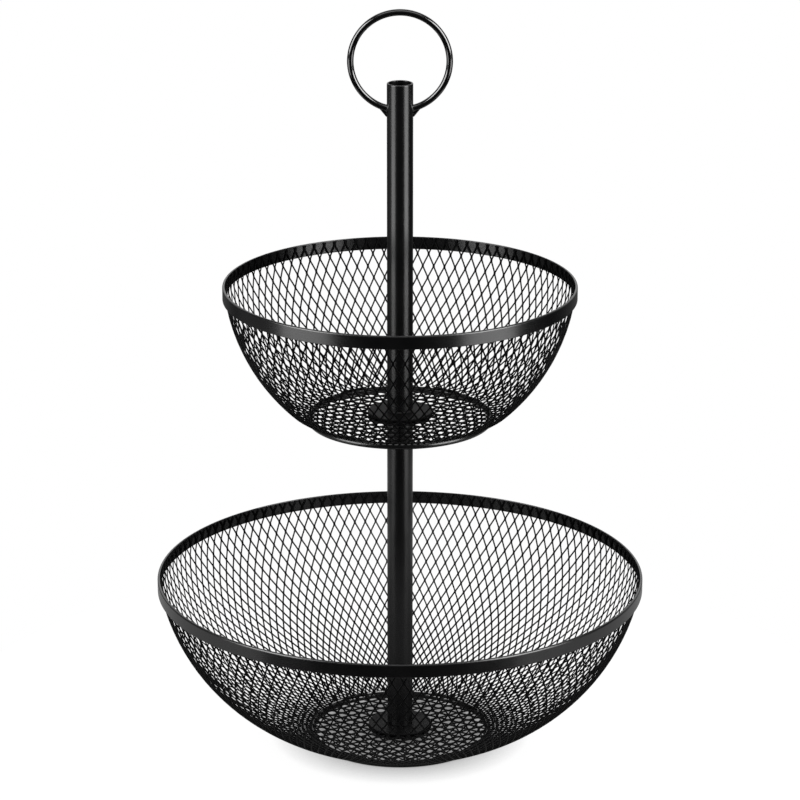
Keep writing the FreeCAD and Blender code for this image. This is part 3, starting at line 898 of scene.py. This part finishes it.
stud_radius, stud_low, stud_high = reach("joining_stud")
root = stud_radius - THREAD_DEPTH
end_radius = root - THREAD_CHAMFER
core_corners = [(0.0, stud_low), (end_radius, stud_low), (root, stud_low + THREAD_CHAMFER),
                (root, stud_high - THREAD_CHAMFER), (end_radius, stud_high), (0.0, stud_high)]
core_outline = [(r * MM, z * MM) for r, z in core_corners]
thread_length = stud_high - stud_low - 2 * THREAD_CHAMFER - THREAD_PITCH
stud = grown("stud", turned_solid("stud_core", core_outline, STUD_STEPS), thread_tree, {
    "Turns": thread_length / THREAD_PITCH, "Length": thread_length * MM, "Root radius": root * MM,
    "Depth": THREAD_DEPTH * MM, "Root width": ROOT_WIDTH * MM, "Crest width": CREST_WIDTH * MM,
    "Low end": (stud_low + THREAD_CHAMFER + THREAD_PITCH / 2) * MM, "Material": zinc_plate})
finish_piece("stud", stud, zinc_plate, "upper_post", ["joining_stud"])

# %% [markdown]
# ## World
# The photograph's background is plain white. A white world all round would turn black steel grey, so the
# world asks which ray looks at it. The camera sees white, and diffuse rays get a weak, even light.
# Reflections see a backdrop that is white behind the stand, dim near the horizon and below it, and dark in
# front, where a studio has no wall.

# %% World
BEHIND_START, BEHIND_FULL = 0.45, 0.95  # share of a direction that points away from the camera
FRONT_LEVEL, BEHIND_LEVEL = 0.005, 0.12
ABOVE_START, ABOVE_FULL = 0.02, 0.2  # share of a direction that points up
ABOVE_GAIN = 8.3
AMBIENT = 0.30
WHITE = (1, 1, 1, 1)

world = bpy.data.worlds.new("studio")
bpy.context.scene.world = world
world.use_nodes = True
world_tree = world.node_tree
world_tree.nodes.clear()
rays = add_node(world_tree, "ShaderNodeLightPath").outputs
mirrored = number(world_tree, "MAXIMUM", rays["Is Glossy Ray"], rays["Is Transmission Ray"])
direction = add_node(world_tree, "ShaderNodeTexCoord").outputs["Generated"]
heading = add_node(world_tree, "ShaderNodeSeparateXYZ", {"Vector": direction}).outputs
behind = map_range(world_tree, heading["Y"], (BEHIND_START, BEHIND_FULL), (FRONT_LEVEL, BEHIND_LEVEL))
above = map_range(world_tree, heading["Z"], (ABOVE_START, ABOVE_FULL), (1.0, ABOVE_GAIN))
reflected = number(world_tree, "MULTIPLY", mirrored, number(world_tree, "MULTIPLY", behind, above))
backdrop = number(world_tree, "MAXIMUM", rays["Is Camera Ray"], reflected)
even_light = number(world_tree, "MULTIPLY", rays["Is Diffuse Ray"], AMBIENT)
level = number(world_tree, "MAXIMUM", backdrop, even_light)
sky = add_node(world_tree, "ShaderNodeBackground", {"Color": WHITE, "Strength": level})
add_node(world_tree, "ShaderNodeOutputWorld", {"Surface": sky.outputs["Background"]})
print("world nodes:", len(world_tree.nodes))

# %% [markdown]
# ## Soft boxes
# A soft box at each side in front draws one pale stripe on the post and one on each half of the rims. A low,
# dim skirt under each box carries the stripes down to the lower rim, a weak fill lights the left end of the
# rims, and a box overhead lights the top edges. They are set low enough that a colour renders about as it is
# written. Area lamps do this, because a point or a sun has no size to mirror.

# %% Lamps
def soft_box(name, place, size, aim, watts):
    """Rectangular lamp at a place, turned to an aim point."""
    data = bpy.data.lights.new(name, "AREA")
    data.shape = "RECTANGLE"
    data.size, data.size_y = size
    data.energy = watts
    lamp = add_object(name, data)
    lamp.location = place
    lamp.rotation_euler = (Vector(aim) - Vector(place)).to_track_quat("-Z", "Y").to_euler()
    lamp.visible_camera = False
    print(name, "watts:", watts)


soft_box("left_box", place=(-1.14, -0.63, 0.86), size=(0.85, 1.1), aim=(0, 0, 0.35), watts=17.0)
soft_box("right_box", place=(1.10, -0.69, 0.86), size=(0.85, 1.1), aim=(0, 0, 0.35), watts=20.0)
soft_box("left_skirt", place=(-1.14, -0.63, 0.02), size=(0.85, 0.37), aim=(0, 0, 0.02), watts=2.1)
soft_box("right_skirt", place=(1.10, -0.69, 0.02), size=(0.85, 0.37), aim=(0, 0, 0.02), watts=2.5)
soft_box("left_fill", place=(-1.28, 0.25, 0.0), size=(0.95, 0.45), aim=(0, 0, 0), watts=0.16)
soft_box("top_box", place=(0, -0.45, 1.7), size=(1.5, 0.8), aim=(0, 0, 0.2), watts=4.0)

# %% [markdown]
# ## Table
# The stand is on a white table whose edge can't be seen, so only a soft shadow at the foot shows. The table
# here is a small disc. To the camera it glows nearly as white as the background, and a weak matt paint adds
# the lamps' light and shadows. Shade is also painted into the glow: Ambient Occlusion dims it where the foot
# touches, a painted contact shadow, and a fade dims it under the lower floor, a painted shadow there.

# %% Table paint
TABLE_TONE = (0.12, 0.12, 0.12, 1)
TABLE_GLOW = 0.92
TABLE_MIRRORED = 0.08
CONTACT_REACH = 0.012
CONTACT_WHITE = 0.35
CONTACT_SAMPLES = 16
BENEATH_WHITE = 0.3
BENEATH_FADE = 8.0


def bare_material(name):
    """Material with an empty tree."""
    material = bpy.data.materials.new(name)
    material.use_nodes = True
    material.node_tree.nodes.clear()
    return material


table_paint = bare_material("table_white")
table_tree = table_paint.node_tree
matt = add_node(table_tree, "ShaderNodeBsdfDiffuse", {"Color": TABLE_TONE})
table_rays = add_node(table_tree, "ShaderNodeLightPath").outputs
mirrored = number(table_tree, "MAXIMUM", table_rays["Is Glossy Ray"], table_rays["Is Transmission Ray"])
seen = number(table_tree, "MULTIPLY_ADD", mirrored, TABLE_MIRRORED, table_rays["Is Camera Ray"])
# painted contact shadow: Ambient Occlusion dims the table's glow near the foot
contact = add_node(table_tree, "ShaderNodeAmbientOcclusion", {"Distance": CONTACT_REACH},
                   samples=CONTACT_SAMPLES)
lit = number(table_tree, "MULTIPLY_ADD", contact.outputs["AO"], 1.0 - CONTACT_WHITE, CONTACT_WHITE)
table_place = add_node(table_tree, "ShaderNodeTexCoord").outputs["Object"]
from_post = add_node(table_tree, "ShaderNodeVectorMath", {0: table_place}, operation="LENGTH")
foot_radius, _, _ = reach("lower_foot_ring")
# painted shadow: the table's glow is dimmed in a disc under the lower floor
painted_shade_beneath = map_range(table_tree, from_post.outputs["Value"],
                    ((foot_radius - BENEATH_FADE) * MM, foot_radius * MM), (BENEATH_WHITE, 1.0))
white_share = number(table_tree, "MULTIPLY", lit, painted_shade_beneath)
glow_level = number(table_tree, "MULTIPLY", number(table_tree, "MULTIPLY", seen, white_share), TABLE_GLOW)
glow = add_node(table_tree, "ShaderNodeEmission", {"Color": WHITE, "Strength": glow_level})
table_mix = add_node(table_tree, "ShaderNodeAddShader", {
    0: matt.outputs["BSDF"], 1: glow.outputs["Emission"]})
add_node(table_tree, "ShaderNodeOutputMaterial", {"Surface": table_mix.outputs["Shader"]})
print("table paint nodes:", len(table_tree.nodes))

# %% Table
TABLE_RADIUS = 0.30
TABLE_SIDES = 128

table_mesh = bpy.data.meshes.new("table")
table_build = bmesh.new()
bmesh.ops.create_circle(table_build, cap_ends=True, segments=TABLE_SIDES, radius=TABLE_RADIUS)
table_build.to_mesh(table_mesh)
table_build.free()
table_mesh.materials.append(table_paint)
table = add_object("table", table_mesh)
print("table radius:", TABLE_RADIUS)

# %% [markdown]
# ## Table in the reflections
# The white table goes on past the disc, and black gloss shows it: the lower rim and the foot of the post
# mirror the table at both sides and behind. A larger disc would change the picture's background, so this
# apron round the disc is seen only in reflections, and it lights nothing else.

# %% Table in the reflections
APRON_RADIUS = 0.54
APRON_RIGHT_GAP = math.radians(46)
APRON_LEFT_GAP = math.radians(54)
APRON_STEPS = 48
APRON_LEVEL = 0.4

apron_paint = bare_material("apron_white")
apron_tree = apron_paint.node_tree
apron_glow = add_node(apron_tree, "ShaderNodeEmission", {"Color": WHITE, "Strength": APRON_LEVEL})
add_node(apron_tree, "ShaderNodeOutputMaterial", {"Surface": apron_glow.outputs["Emission"]})

apron_sweep = 2 * math.pi - APRON_RIGHT_GAP - APRON_LEFT_GAP
apron_points, apron_faces = [], []
for step in range(APRON_STEPS + 1):
    turn = APRON_RIGHT_GAP + apron_sweep * step / APRON_STEPS - QUARTER_TURN
    for edge in (TABLE_RADIUS, APRON_RADIUS):
        apron_points.append((edge * math.cos(turn), edge * math.sin(turn), 0.0))
    if step:
        last = 2 * step
        apron_faces.append((last - 2, last - 1, last + 1, last))
apron_mesh = bpy.data.meshes.new("table_apron")
apron_mesh.from_pydata(apron_points, [], apron_faces)
apron_mesh.materials.append(apron_paint)
apron = add_object("table_apron", apron_mesh)
apron.visible_camera = False
apron.visible_diffuse = False
apron.visible_shadow = False
print("apron faces:", len(apron_mesh.polygons))

# %% [markdown]
# ## Plain nodes
# Nodes whose plain shape is right keep it and get their finish here.

plain_finish = {"black_coated_steel": steel_coat, "black_coated_mesh": mesh_coat,
                "zinc_plated_steel": zinc_plate, "black_nylon": nylon}
for part in frame["record"]["subparts"]:
    node_mesh = frame["nodes"][part["node"]].data
    node_mesh.materials.clear()
    node_mesh.materials.append(plain_finish[part["material_slot"]])

bpy.context.scene.view_settings.view_transform = "Standard"
